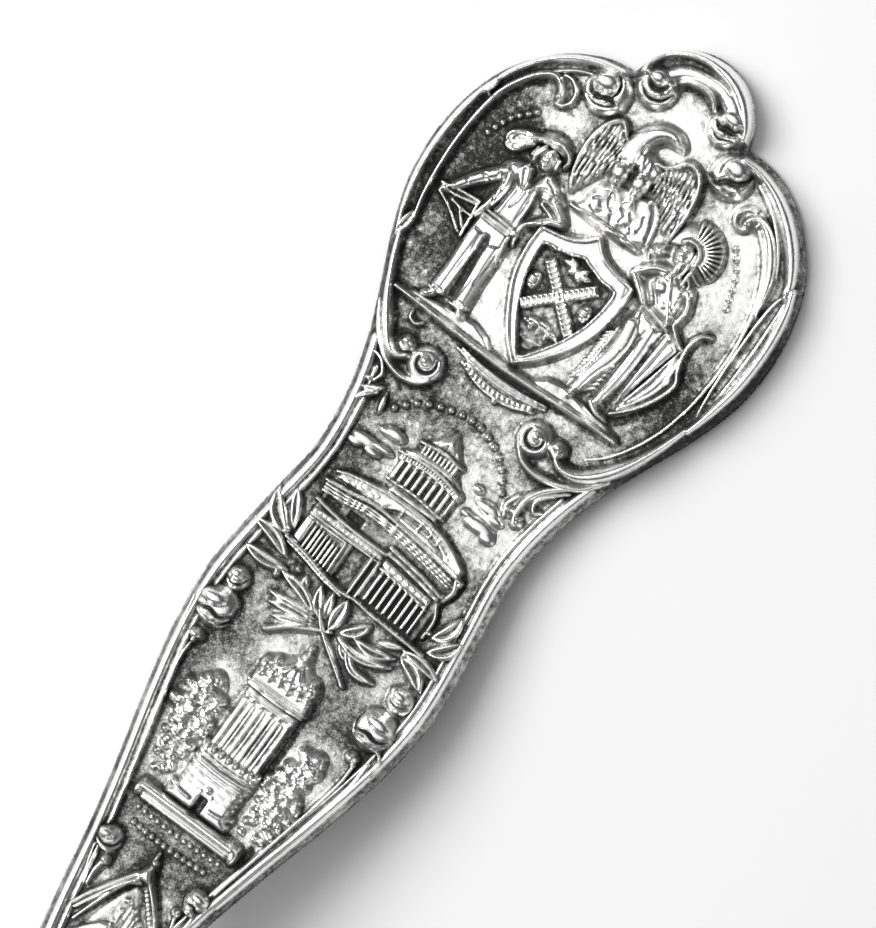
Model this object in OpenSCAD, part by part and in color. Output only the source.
// Souvenir teaspoon with a relief-decorated handle.
// The spoon lies face up: +Z is up, +Y runs from the bowl to the handle's tip, and the origin is
// below the middle of the spoon, on the surface that it rests on.
// The handle's relief is laid out as [x, s] points: x across the face and s down it from the tip.

/* [Overall] */
// Length from the bowl's tip to the handle's tip
overall_length = 149; // [144:1:156]
// Width of the handle across its medallion
medallion_width = 24; // [22:0.5:25]
// Radius of the long curve of the handle's face
face_radius = 224; // [210:2:260]

/* [Bowl] */
// Length of the bowl
bowl_length = 47; // [44:1:50]
// Width of the bowl at its widest
bowl_width = 31; // [28:1:33]
// Inside depth of the bowl
bowl_depth = 6.4; // [5.6:0.2:7]
// Wall of the bowl
bowl_wall = 0.9; // [0.7:0.1:1.1]

/* [Handle] */
// Thickness of the flat blade
blade_thickness = 1.25; // [1:0.05:1.6]
// Width of the stem at its slimmest
stem_width = 4.4; // [4:0.1:5]
// Thickness of the stem
stem_thickness = 2.3; // [2:0.1:2.6]

/* [Relief] */
// Height of the rails along the handle's edges
rail_height = 0.6; // [0.4:0.05:0.8]
// Height of the scrolls and their curls
scroll_height = 1; // [0.7:0.05:1.2]
// Height of the figures and the bird
figure_height = 0.7; // [0.5:0.05:0.9]
// Height of the buildings
building_height = 0.6; // [0.4:0.05:0.8]
// Height of the clouds, leaves, trees and beads
foliage_height = 0.4; // [0.3:0.05:0.6]

/* [Hidden] */
$fn = 48;

k = medallion_width / 24;               // the face is laid out for a medallion 24 wide
tip_y = overall_length / 2;
blade_length = 66 * k;
rest_s = 8 * k;                         // the back of the handle rests this far from its tip
rest_flat = 0.05;                       // depth of the flat worn where it rests
face_y = tip_y - rest_s;
face_z = blade_thickness + face_radius - rest_flat;
blade_end_y = tip_y - blade_length;
bowl_start_y = -tip_y + bowl_length;
rim_rise = 2.4;                         // how much higher the bowl's rim is at the stem than at its tip
bowl_sections = 34;
stem_sections = 24;
ring_steps = 20;
bowl_power = 2.3;                       // how square the bowl's cross-section is
lip = 0.8;                              // width of the bowl's flat lip

silver = [0.78, 0.78, 0.77];
dark_silver = [0.55, 0.55, 0.56];

// ---------------------------------------------------------------- curves

// A smooth curve through the points p, with n steps between each two
function smooth(p, n = 6) = let (m = len(p) - 1) concat(
    [for (i = [0 : m - 1], j = [0 : n - 1])
        let (a = p[max(i - 1, 0)], b = p[i], c = p[i + 1], d = p[min(i + 2, m)], t = j / n)
        (2 * b + (c - a) * t + (2 * a - 5 * b + 4 * c - d) * t * t
            + (3 * b - a - 3 * c + d) * t * t * t) / 2],
    [p[m]]);

function unit(v) = v / norm(v);

// The unit vector across the path p at its point i
function across(p, i) = let (m = len(p) - 1, d = unit(p[min(i + 1, m)] - p[max(i - 1, 0)])) [-d[1], d[0]];

// The outline of a band along p whose width goes evenly from w0 to w1
function band(p, w0, w1) = let (m = len(p) - 1) concat(
    [for (i = [0 : m]) p[i] + across(p, i) * (w0 + (w1 - w0) * i / m) / 2],
    [for (i = [m : -1 : 0]) p[i] - across(p, i) * (w0 + (w1 - w0) * i / m) / 2]);

// A slender leaf from a to b, w across at its middle
function leaf(a, b, w) = let (n = 8, side = [-(b - a)[1], (b - a)[0]] / norm(b - a)) concat(
    [for (i = [0 : n]) a + (b - a) * i / n + side * w / 2 * sin(180 * i / n)],
    [for (i = [n - 1 : -1 : 1]) a + (b - a) * i / n - side * w / 2 * sin(180 * i / n)]);

function mirrored(p) = [for (q = p) [-q[0], q[1]]];

// ---------------------------------------------------------------- the blade and what stands on it

// The layer of space from one height to another above the blade's face
module layer(low, high) {
    translate([0, face_y, face_z]) rotate([0, 90, 0]) difference() {
        cylinder(r = face_radius - low, h = 60, center = true, $fn = 200);
        cylinder(r = face_radius - high, h = 80, center = true, $fn = 200);
    }
}

// Stands a flat [x, s] shape on the face, as high as height
module raised(height, low = 0) {
    intersection() {
        translate([0, tip_y, -1]) linear_extrude(30) mirror([0, 1]) scale(k) children();
        layer(low, height);
    }
}

module stroke(p, w0, w1) {
    polygon(band(smooth(p), w0, w1));
}

module knob(p, r) {
    translate(p) circle(r);
}

half_outline = smooth([
    [4.2, 3.42], [5.6, 3.55], [6.9, 4.0], [8.5, 5.0], [10.4, 7.1], [11.4, 9.3], [11.95, 12.2],
    [11.8, 15.6], [10.8, 18.9], [9.45, 22.0], [8.3, 24.8], [7.4, 28.0], [7.0, 31.6], [7.4, 35.0],
    [7.85, 38.6], [8.0, 41.4], [7.6, 45.0], [6.7, 49.0], [5.6, 53.0], [4.6, 57.0], [3.75, 61.0],
    [2.8, 64.8], [stem_width / 2 / k + 0.25, 66]], 5);

module blade_outline() {
    polygon(concat(half_outline, [for (i = [len(half_outline) - 1 : -1 : 0])
        [-half_outline[i][0], half_outline[i][1]]]));
    translate([-0.3, 4]) circle(4);
}

module blade() {
    color(silver) intersection() {
        raised(0, -blade_thickness) blade_outline();
        translate([-50, -100, 0]) cube([100, 200, 30]);
    }
}

// ---------------------------------------------------------------- the stem and the bowl

function face_z_at(y) = face_z - sqrt(face_radius * face_radius - (y - face_y) * (y - face_y));
function face_slope_at(y) = (y - face_y) / sqrt(face_radius * face_radius - (y - face_y) * (y - face_y));
function hermite(a, b, ma, mb, t) = (2 * t * t * t - 3 * t * t + 1) * a + (t * t * t - 2 * t * t + t) * ma
    + (3 * t * t - 2 * t * t * t) * b + (t * t * t - t * t) * mb;

// One closed section across the spoon at y: the back from left to right, then the front from right to left.
// w is its half width, z its edge height, dip its inside depth and back its outside depth.
function section(y, w, z, dip, back, edge) = concat(
    [for (i = [-ring_steps : ring_steps]) let (f = sin(90 * i / ring_steps))
        [w * f, y, z - back * (1 - pow(abs(f), bowl_power))]],
    [for (i = [ring_steps : -1 : -ring_steps]) let (f = sin(90 * i / ring_steps), e = w - edge)
        [e * f, y, z - dip * (1 - pow(abs(f), bowl_power))]]);

// A closed solid through sections that have the same number of points
module loft(sections) {
    n = len(sections[0]);
    last = len(sections) - 1;
    half = n / 2;
    points = [for (s = sections, p = s) p];
    sides = [for (i = [0 : last - 1], j = [0 : n - 1]) let (a = i * n + j, b = i * n + (j + 1) % n)
        [a, a + n, b + n, b]];
    first_cap = [for (j = [0 : half - 2]) [j + 1, n - 2 - j, n - 1 - j, j]];
    last_cap = [for (q = first_cap) [for (m = [3 : -1 : 0]) q[m] + last * n]];
    polyhedron(points, concat(sides, first_cap, last_cap));
}

// Along the bowl a goes from 0 at the stem to 180 at the tip, and its rim is level with 0 at the tip
function bowl_y(a) = bowl_start_y - bowl_length * (1 - cos(a)) / 2;
function bowl_half_width(a) = pow(pow(bowl_width / 2 * sin(a) * (1 + 0.16 * cos(a)), 2.4)
    + pow(stem_half_width(1) * (1 + cos(a)) / 2, 2.4), 1 / 2.4);
function bowl_rim(a) = rim_rise * pow((1 + cos(a)) / 2, 2);
function bowl_dip(a) = bowl_depth * pow(sin(a), 1.3) * (1 + 0.05 * cos(a));
function bowl_back(a) = bowl_dip(a) + bowl_wall + (stem_thickness - bowl_wall) * pow((1 + cos(a)) / 2, 3);
bowl_angles = [for (i = [0 : bowl_sections]) 178 * i / bowl_sections];
bowl_lift = -min([for (a = bowl_angles) bowl_rim(a) - bowl_back(a)]);  // stands its lowest point on z = 0
rim_start_z = bowl_lift + bowl_rim(0);

module bowl() {
    color(silver) loft([for (a = bowl_angles)
        section(bowl_y(a), bowl_half_width(a), bowl_rim(a) + bowl_lift, bowl_dip(a), bowl_back(a),
            min(lip, bowl_half_width(a) * 0.3))]);
}

// The stem's edge height at t, from 0 at the blade to 1 at the bowl
stem_peak_t = 0.5;
stem_crown = 0.25;
stem_peak_z = face_z_at(blade_end_y) + 2.6;
stem_run = blade_end_y - bowl_start_y;
blade_rise = -face_slope_at(blade_end_y) * stem_run;
function stem_z(t) = t < stem_peak_t
    ? hermite(face_z_at(blade_end_y), stem_peak_z, blade_rise * stem_peak_t, 0, t / stem_peak_t)
    : hermite(stem_peak_z, rim_start_z, 0, -1.2, (t - stem_peak_t) / (1 - stem_peak_t));
function stem_half_width(t) = stem_width / 2 + 0.25 * pow(1 - t, 4) + 0.35 * pow(t, 4);

module stem() {
    color(silver) loft([for (i = [0 : stem_sections]) let (t = i / stem_sections)
        section(blade_end_y - stem_run * t, stem_half_width(t), stem_z(t), -stem_crown * sin(180 * t),
            blade_thickness + (stem_thickness - blade_thickness) * (1 - pow(1 - min(1, t * 2), 2)), 0.15)]);
}

// ---------------------------------------------------------------- rails and scrolls

module stem_rails() {
    color(silver) for (side = [-1, 1]) loft([for (i = [0 : stem_sections]) let (
            t = 0.9 * i / stem_sections, w = stem_half_width(t) - 0.4, y = blade_end_y - stem_run * t)
        [for (q = [[-0.3, 0], [0, 0], [0.3, 0], [0.2, 0.3], [0, 0.4], [-0.2, 0.3]])
            [side * w + q[0], y, stem_z(t) - 0.02 + q[1]]]]);
}

// The blade's outline moved in by 0.35, from one distance down the handle to another
function edge_path(from, to) = [for (q = half_outline) if (q[1] >= from && q[1] <= to) [q[0] - 0.35, q[1]]];

module edge_rail(path) {
    color(silver) raised(rail_height) polygon(band(path, 0.5, 0.5));
}

module edge_rail_left() { edge_rail(mirrored(edge_path(25, 65))); }

module edge_rail_right() { edge_rail(edge_path(25, 65)); }

module cap_scroll() {
    color(silver) raised(scroll_height) {
        stroke([[-3.7, 2.8], [-3.45, 1.8], [-2.6, 1.05], [-1.3, 0.75], [0.2, 0.9], [1.6, 1.4], [2.8, 2.1]],
            0.6, 1.2);
        stroke([[-1.4, 2.7], [-1, 2.25], [-0.3, 2.05], [0.4, 2.25], [0.75, 2.7]], 0.3, 0.3);
        knob([-2.6, 3.55], 1.05);
        knob([2.15, 2.95], 1.05);
    }
}

// A scroll whose band runs along p from its curl, with knobs as [centre, radius]
module scroll(p, w0, w1, knobs, height) {
    color(silver) raised(height) {
        stroke(p, w0, w1);
        for (q = knobs) knob(q[0], q[1]);
    }
}

module medallion_scroll_left() {
    scroll([[-5.2, 4.25], [-6.4, 4.4], [-7.8, 5.1], [-9.1, 6.2], [-10, 7.4], [-10.4, 8.3]], 0.8, 0.7,
        [[[-4.75, 5.25], 1.25]], scroll_height);
}

module medallion_scroll_right() {
    scroll([[4.9, 4.2], [6.3, 4.45], [7.8, 5.25], [9.1, 6.4], [9.9, 7.7]], 0.8, 0.9,
        [[[3.95, 5.2], 1.3]], scroll_height);
}

module medallion_rail_left() {
    scroll([[-10.7, 8.7], [-11.2, 10.3], [-11.5, 12.6], [-11.35, 15], [-10.8, 17.2], [-10.4, 18.1]],
        0.5, 0.5, [], rail_height);
}

module medallion_rail_right() {
    scroll([[10.5, 8.7], [11.15, 10.6], [11.45, 13], [11.25, 15.4], [10.6, 17.7], [10.3, 18.3]],
        0.55, 0.55, [], rail_height);
}

module inner_scroll_left() {
    scroll([[-7.3, 6.5], [-8, 6.6], [-8.8, 7.3], [-9.6, 8.6], [-10.2, 10.3], [-10.5, 12.5], [-10.45, 14.5],
        [-10.2, 16.4], [-9.9, 17.8]], 0.5, 0.35, [[[-6.75, 7.1], 0.5]], rail_height);
}

module inner_scroll_right() {
    scroll([[6.3, 6.5], [7, 6.6], [7.9, 7.3], [8.8, 8.5], [9.5, 10.2], [9.95, 12], [10, 14.2], [9.8, 16.4],
        [9.5, 18]], 0.5, 0.35, [[[5.95, 7.15], 0.5]], rail_height);
}

module lower_scroll_left() {
    scroll([[-10.1, 18.7], [-9.5, 20.3], [-8.6, 22], [-7.6, 23.3], [-6.7, 24.2], [-5.6, 24.7]], 0.45, 0.8,
        [[[-4.75, 24.1], 1.05], [[-6.2, 23.75], 0.5]], scroll_height);
}

module lower_scroll_right() {
    scroll([[9.9, 18.9], [9.2, 20.8], [8.2, 22.5], [7, 23.8], [5.9, 24.6], [4.8, 24.9]], 0.45, 0.8,
        [[[3.7, 24.2], 1.1], [[5, 23.85], 0.55]], scroll_height);
}

// ---------------------------------------------------------------- the coat of arms

// Beads along the smooth curve through p
module beads(p, r, n) {
    color(silver) raised(foliage_height) {
        q = smooth(p, n);
        for (i = [0 : 2 : len(q) - 1]) knob(q[i], r);
    }
}

module bead_arcs() {
    beads([[-9.3, 11.1], [-8.6, 9.7], [-7.5, 8.6]], 0.2, 4);
    beads([[6.5, 8.4], [7.4, 9.7], [8, 11.5]], 0.2, 4);
}

module bird_wings() {
    color(silver) raised(figure_height) {
        polygon([[-3.3, 6.1], [-3.9, 6.8], [-4.15, 8.2], [-4.05, 9.8], [-3.6, 11], [-3.2, 11.1], [-2.9, 10],
            [-2.3, 9.1], [-1.95, 8.2], [-1.95, 7.3], [-2.6, 6.6]]);
        polygon([[1.5, 6.1], [2.2, 6.2], [2.9, 7], [3.15, 8.4], [3.05, 9.9], [2.6, 10.4], [2.2, 9.6],
            [1.4, 8.8], [0.65, 8.2], [0.7, 7.2]]);
    }
}

module bird_body() {
    color(silver) raised(figure_height) {
        polygon([[0.85, 5.7], [0.6, 5.15], [0, 5], [-0.7, 5.15], [-1.3, 5.8], [-1.8, 6.8], [-1.9, 7.6],
            [-1.9, 9.4], [-1.2, 9.75], [0, 9.75], [0.6, 9.3], [0.55, 8.2], [0.3, 7.3], [-0.5, 6.4], [-0.4, 6],
            [0.2, 6]]);
    }
}

module perch() {
    color(silver) raised(foliage_height) intersection() {
        translate([-0.5, 12]) scale([1.2, 1]) circle(2);
        translate([-3, 9.8]) square([5, 2.2]);
    }
}

module left_supporter() {
    color(silver) raised(figure_height) {
        knob([-5.5, 10.5], 0.55);
        polygon([[-7.1, 11.7], [-5.6, 11.4], [-4.1, 11.5], [-3.7, 12], [-4.75, 12.7], [-4.7, 15.1],
            [-4.6, 16], [-4.3, 20.4], [-5.4, 20.5], [-5.75, 16.2], [-6, 20.3], [-6.95, 20.3], [-7, 15],
            [-6.75, 13.6]]);
        stroke([[-7, 12.2], [-7.9, 13.4], [-8.8, 14.5]], 0.9, 0.6);
        polygon([[-4.5, 12.1], [-3.9, 11.9], [-2.9, 12.9], [-4.1, 14.1], [-4.5, 13.7], [-3.7, 12.9]]);
        polygon([[-6.2, 20.4], [-7, 20.5], [-8, 20.95], [-7.8, 21.2], [-6.6, 21.2]]);
        polygon([[-5.2, 20.6], [-4.3, 20.5], [-3.8, 21.1], [-4.6, 21.2]]);
    }
}

module left_supporter_hat() {
    color(silver) raised(figure_height + 0.1)
        polygon([[-8, 10.5], [-7.9, 10.1], [-6.9, 9.9], [-6.5, 9.2], [-5.9, 8.7], [-5.4, 8.7], [-4.9, 9.1],
            [-4.4, 9.5], [-4.5, 10.2], [-4.9, 10.1], [-5.2, 9.9], [-6, 9.9], [-6.4, 10.6], [-7.6, 10.9]]);
}

module left_supporter_instrument() {
    color(silver) raised(foliage_height) {
        stroke([[-9.8, 15.1], [-8.6, 14.9], [-7.15, 14.6]], 0.3, 0.25);
        stroke([[-9.8, 15.2], [-8.7, 15.9], [-7.3, 16.9]], 0.3, 0.25);
        stroke([[-7.3, 14.7], [-7.2, 15.8], [-7.25, 16.9]], 0.25, 0.25);
    }
}

module right_supporter() {
    color(silver) raised(figure_height) {
        knob([4.3, 10.4], 0.6);
        polygon([[3.4, 11.6], [4.6, 11.4], [5.6, 11.7], [6.1, 12.6], [5.9, 15], [5.6, 20.3], [4.9, 20.3],
            [4.75, 17], [4.1, 18.6], [3.9, 20.3], [3.1, 20.3], [3.4, 17.6], [3.5, 15.2], [4, 14.2],
            [4.2, 13]]);
        stroke([[3.7, 11.8], [2.9, 12.5], [2.1, 13]], 0.7, 0.45);
        stroke([[5.9, 12.3], [6.3, 13.4], [7.4, 14.3]], 0.6, 0.45);
        knob([3.3, 20.85], 0.45);
        polygon([[4.6, 20.45], [5.7, 20.45], [6.3, 20.9], [5.4, 21.1]]);
    }
}

module right_supporter_headdress() {
    color(silver) raised(figure_height + 0.1)
        polygon([[3.9, 9.6], [4, 8.6], [4.6, 8.15], [5.3, 8.3], [5.9, 8.9], [6.15, 9.7], [6, 10.5],
            [5.4, 10.7], [5, 10.3]]);
}

module right_supporter_bow() {
    color(silver) raised(foliage_height) {
        stroke([[8.2, 13.4], [7.6, 14.2], [7.7, 15.4], [8, 16.4], [7.8, 17.8], [7.1, 19.2], [6.1, 20.3]],
            0.3, 0.3);
        stroke([[7.3, 14.9], [6.9, 17.2], [6.2, 19.9]], 0.15, 0.15);
    }
}

shield_outline = [[-0.3, 12.3], [0.5, 13], [1.5, 13.6], [2.7, 13.8], [3.0, 15.2], [2.7, 17], [1.9, 18.9],
    [0.8, 20.4], [-0.3, 21.2], [-1.5, 20.2], [-2.6, 18.5], [-3.3, 16.8], [-3.6, 15], [-3.3, 14],
    [-2.2, 13.8], [-1.1, 13.1]];
field_outline = [[-0.3, 13.9], [0.4, 14.2], [1.2, 14.5], [2.2, 14.6], [2.3, 15.4], [2, 17], [1.4, 18.4],
    [0.6, 19.7], [-0.3, 20.6], [-1.2, 19.6], [-2, 18.2], [-2.6, 16.6], [-2.9, 15.2], [-2.8, 14.6],
    [-1.9, 14.5], [-1, 14.2]];
field_height = 0.3;

module shield_frame() {
    color(silver) raised(figure_height) difference() {
        polygon(shield_outline);
        polygon(field_outline);
    }
}

module shield_field() {
    color(dark_silver) raised(field_height) polygon(field_outline);
}

module shield_saltire() {
    color(silver) raised(figure_height, field_height) translate([-0.25, 16.65]) for (turn = [45, -45])
        rotate(turn) square([4, 0.6], center = true);
}

// Four plain lozenges, one in each corner of the saltire
module shield_charges() {
    color(silver) raised(field_height + 0.3, field_height)
        for (q = [[-0.3, 14.95], [-2.05, 16.6], [1.45, 16.6], [-0.3, 18.5]])
            translate(q) rotate(45) square(0.7, center = true);
}

module ground_bar() {
    color(silver) raised(figure_height)
        stroke([[-8.7, 21.55], [-5, 21.6], [-1, 21.65], [3, 21.5], [7.2, 21.6]], 0.45, 0.45);
}

module swag() {
    color(silver) raised(foliage_height)
        polygon([[-3, 22.4], [2.7, 22.4], [2.1, 23.1], [1, 23.45], [-0.1, 23.7], [-1.3, 23.45], [-2.4, 23]]);
}

// ---------------------------------------------------------------- the domed hall

module title_beads() {
    beads([[-4.4, 27.3], [-3.3, 26], [-1.3, 25.4], [0.6, 25.5], [2.3, 26.3], [3.5, 27.6]], 0.2, 4);
}

module leaf_tufts() {
    color(silver) raised(foliage_height) {
        polygon(leaf([-6.9, 25.8], [-5.9, 28.4], 0.8));
        polygon(leaf([-5.3, 26.6], [-6.3, 28], 0.5));
        polygon(leaf([6.3, 25.8], [4.9, 28.6], 0.8));
        polygon(leaf([5.6, 27.6], [4.6, 27], 0.5));
    }
}

module clouds() {
    color(silver) raised(foliage_height)
        for (q = [[-3.5, 28.6, 0.8], [-5, 29.9, 0.8], [-3.9, 30, 0.7], [3.6, 29, 0.8], [3.2, 30.1, 0.7],
                [4.4, 30.2, 0.6]])
            translate([q[0], q[1]]) scale([1, 0.55]) circle(q[2]);
}

module rotunda_roof() {
    color(silver) raised(building_height)
        polygon([[-0.45, 26.2], [0.85, 27.9], [0.8, 28.5], [1.75, 29.1], [-2.7, 29.1], [-1.7, 28.5],
            [-1.8, 27.9]]);
}

// Columns side by side, n of them between x0 and x1
module columns(x0, x1, top, bottom, n, w) {
    for (i = [0 : n - 1]) translate([x0 + (x1 - x0) * i / (n - 1) - w / 2, top]) square([w, bottom - top]);
}

module rotunda_drum() {
    color(silver) raised(building_height) {
        translate([-2.4, 29.15]) square([4.2, 0.3]);
        columns(-2.15, 1.55, 29.4, 30.8, 9, 0.22);
        translate([-2.3, 30.75]) square([4, 0.25]);
    }
}

module attic() {
    color(silver) raised(building_height * 0.8)
        polygon([[-4.9, 32.85], [-4.7, 32.1], [-3.2, 31.6], [-1.7, 31.3], [1.6, 31.3], [3.3, 32], [4.4, 33.2],
            [1.5, 32.9], [-1.7, 32.6]]);
}

wall_height = building_height / 2;

module main_block() {
    color(dark_silver) raised(wall_height)
        polygon([[-4.9, 32.9], [-1.7, 32.65], [1.5, 32.95], [4.6, 33.3], [4.5, 37.4], [0.5, 37.5],
            [-1.7, 37.2], [-4.8, 36.8]]);
}

module portico_left() {
    color(silver) raised(building_height, wall_height) {
        translate([-4.8, 34.4]) square([4.9, 0.45]);
        columns(-4.5, -2.1, 34.8, 36.8, 8, 0.2);
    }
}

module portico_right() {
    color(silver) raised(building_height, wall_height) {
        polygon([[0.3, 34.5], [4.4, 35.1], [4.3, 35.7], [0.3, 35.2]]);
        columns(0.6, 3.9, 35.1, 37.3, 7, 0.25);
    }
}

module terrace() {
    color(silver) raised(building_height) stroke([[-7.2, 37.3], [-5.2, 37.1], [-2.8, 37.5], [-1, 37.85],
        [0.4, 37.75], [3, 37.9], [5.6, 37.95]], 0.4, 0.4);
}

// ---------------------------------------------------------------- the laurel

module spray(stem, leaves) {
    color(silver) raised(foliage_height) {
        stroke(stem, 0.4, 0.2);
        for (q = leaves) polygon(leaf(q[0], q[1], q[2]));
    }
}

module laurel_left() {
    spray([[0.4, 40.5], [-0.9, 39.7], [-2.6, 38.9], [-4.2, 38.6]],
        [[[-2.3, 39], [-4, 38.9], 0.5], [[-1.2, 39.8], [-4, 39.9], 0.5], [[-0.9, 40.4], [-3, 41.9], 0.35],
         [[-1, 40.1], [-3.4, 40.9], 0.4], [[-1, 39.6], [-1.3, 38.2], 0.5], [[-4.3, 38.7], [-6.7, 38.9], 0.5],
         [[-5.3, 36.8], [-7, 35.2], 0.7], [[-5.3, 36.7], [-6.2, 34.6], 0.5]]);
}

module laurel_right() {
    spray([[0.6, 40], [2.2, 39.5], [4.2, 38.9], [6.8, 38.6]],
        [[[1.8, 39.6], [4.4, 39.6], 0.6], [[1.6, 39.7], [4, 41], 0.4], [[0.9, 40.2], [2.5, 42], 0.35],
         [[1, 39.4], [2, 38.4], 0.6], [[5.3, 36.8], [5.9, 35], 0.8], [[5.5, 37.4], [6.7, 36.6], 0.5]]);
}

// ---------------------------------------------------------------- the column and its panel

module hip_scroll_left() {
    scroll([[-7.2, 43.9], [-6.9, 44.3], [-6.4, 44.6]], 0.4, 0.3,
        [[[-6.15, 42.6], 1.4], [[-6.15, 40.6], 0.75], [[-6, 44.75], 0.5]], scroll_height);
}

module hip_scroll_right() {
    scroll([[7.1, 43.9], [6.6, 44.3], [6.1, 44.8]], 0.4, 0.3,
        [[[6, 43], 1.35], [[5.95, 41], 0.8], [[5.6, 45.1], 0.5]], scroll_height);
}

panel_path = [[6.2, 45.8], [5.4, 48.2], [4.6, 51], [3.9, 54], [3.7, 55.6]];

module panel_rail(path) {
    color(silver) raised(rail_height) stroke(path, 0.4, 0.3);
}

module panel_rail_left() { panel_rail(mirrored(panel_path)); }

module panel_rail_right() { panel_rail(panel_path); }

module monument_dome() {
    color(silver) raised(scroll_height)
        polygon([[-0.15, 41.2], [0.25, 41.2], [0.35, 42.2], [1.1, 42.9], [1.6, 43.6], [2, 44.3], [1.9, 45],
            [-1.95, 45], [-2, 44.1], [-1.3, 43.1], [-0.4, 42.3]]);
}

module monument_columns() {
    color(silver) raised(building_height + 0.2) {
        translate([-1.6, 45.05]) square([3.4, 0.55]);
        columns(-1.4, 1.6, 45.5, 49, 6, 0.32);
    }
}

module monument_base() {
    color(silver) raised(building_height + 0.2) difference() {
        polygon([[-1.9, 49.05], [1.95, 49.05], [1.85, 51.9], [2.2, 52.1], [2.1, 52.9], [-1.9, 52.9],
            [-2.2, 52.1], [-1.8, 51.9]]);
        translate([-0.5, 51.7]) square([0.9, 2]);
    }
}

module monument_steps() {
    color(silver) raised(scroll_height)
        polygon([[-3.6, 52.95], [3.55, 52.95], [3.6, 54.1], [-3.3, 54.05]]);
}

// Rounded tufts, each [x, s, radius]
module tufts(list) {
    color(silver) raised(foliage_height) for (q = list) knob([q[0], q[1]], q[2]);
}

trees_left_tufts = [[-3.7, 45.9, 0.6], [-4.3, 46.6, 0.5], [-3.1, 46.7, 0.6], [-4.2, 48.6, 0.7],
    [-3.1, 48.5, 0.8], [-3.6, 47.6, 0.6], [-3.3, 50, 0.7], [-2.9, 51.3, 0.5]];

module trees_left() { tufts(trees_left_tufts); }

module trees_right() {
    tufts([[3.5, 46.4, 0.6], [3.2, 47.4, 0.6], [4, 47.3, 0.5], [3, 48.5, 0.6], [4, 48.3, 0.7],
        [3.3, 49.6, 0.7], [4.2, 49.3, 0.5], [3.3, 50.9, 0.6], [3.5, 51.9, 0.4]]);
}

module caption_beads() {
    beads([[-2.7, 54.7], [-1, 54.9], [0.8, 54.9], [2.7, 54.7]], 0.18, 6);
    beads([[-1.9, 55.4], [-0.6, 55.55], [0.6, 55.55], [1.9, 55.4]], 0.18, 6);
}

// ---------------------------------------------------------------- the bridge

module lower_curls() {
    color(silver) raised(scroll_height) for (q = [[-3.15, 56.8, 0.75], [3.3, 56.9, 0.72], [-2.45, 57.9, 0.4],
            [2.6, 58, 0.35]])
        knob([q[0], q[1]], q[2]);
}

module bridge_tower() {
    color(silver) raised(building_height) difference() {
        polygon([[-0.35, 56.3], [0.35, 56.3], [0.5, 57.2], [1.1, 58.2], [1.1, 61.6], [-1.1, 61.6],
            [-1.1, 58.2], [-0.5, 57.2]]);
        translate([-0.6, 59]) square([0.4, 3]);
        translate([0.2, 59]) square([0.4, 3]);
    }
}

module bridge_cables() {
    color(silver) raised(building_height) for (side = [-1, 1])
        stroke([[side * 1.2, 58.2], [side * 1.8, 59.3], [side * 2.5, 61], [side * 2.6, 63]], 0.3, 0.3);
}

module bridge_deck() {
    color(silver) raised(foliage_height)
        polygon([[-0.9, 61.65], [0.9, 61.65], [1.9, 64.6], [-1.9, 64.6]]);
}

// A rounded drop under the stem's root, where the stem meets the back of the bowl.
// Its top follows the bowl's back.
drop_length = 13;
drop_width = 4.6;
drop_height = 0.8;
drop_sections = 14;
drop_steps = 8;

// The angle along the bowl at the distance d from its start
function angle_at(d) = acos(1 - 2 * d / bowl_length);
function back_z(a, x) = bowl_rim(a) + bowl_lift
    - bowl_back(a) * (1 - pow(min(1, abs(asin(min(1, abs(x) / bowl_half_width(a))) / 90)) , bowl_power));

module heel_drop() {
    color(silver) loft([for (i = [0 : drop_sections]) let (
            u = i / drop_sections, d = 1.2 + u * drop_length, a = angle_at(d),
            w = drop_width / 2 * sqrt(max(0.003, 1 - pow(u, 3))) * (1 - 0.25 * u),
            h = drop_height * sqrt(max(0.003, 1 - u * u)))
        concat(
            [for (j = [-drop_steps : drop_steps]) let (x = w * j / drop_steps)
                [x, bowl_y(a), back_z(a, x) - h * (1 - pow(j / drop_steps, 2)) - 0.02]],
            [for (j = [drop_steps : -1 : -drop_steps]) let (x = w * j / drop_steps)
                [x, bowl_y(a), back_z(a, x)]])]);
}

bowl();
heel_drop();
stem();
blade();
stem_rails();
edge_rail_left();
edge_rail_right();
cap_scroll();
medallion_scroll_left();
medallion_scroll_right();
medallion_rail_left();
medallion_rail_right();
inner_scroll_left();
inner_scroll_right();
lower_scroll_left();
lower_scroll_right();
bead_arcs();
bird_wings();
bird_body();
perch();
left_supporter();
left_supporter_hat();
left_supporter_instrument();
right_supporter();
right_supporter_headdress();
right_supporter_bow();
shield_frame();
shield_field();
shield_saltire();
shield_charges();
ground_bar();
swag();
title_beads();
leaf_tufts();
clouds();
rotunda_roof();
rotunda_drum();
attic();
main_block();
portico_left();
portico_right();
terrace();
laurel_left();
laurel_right();
hip_scroll_left();
hip_scroll_right();
panel_rail_left();
panel_rail_right();
monument_dome();
monument_columns();
monument_base();
monument_steps();
trees_left();
trees_right();
caption_beads();
lower_curls();
bridge_tower();
bridge_cables();
bridge_deck();
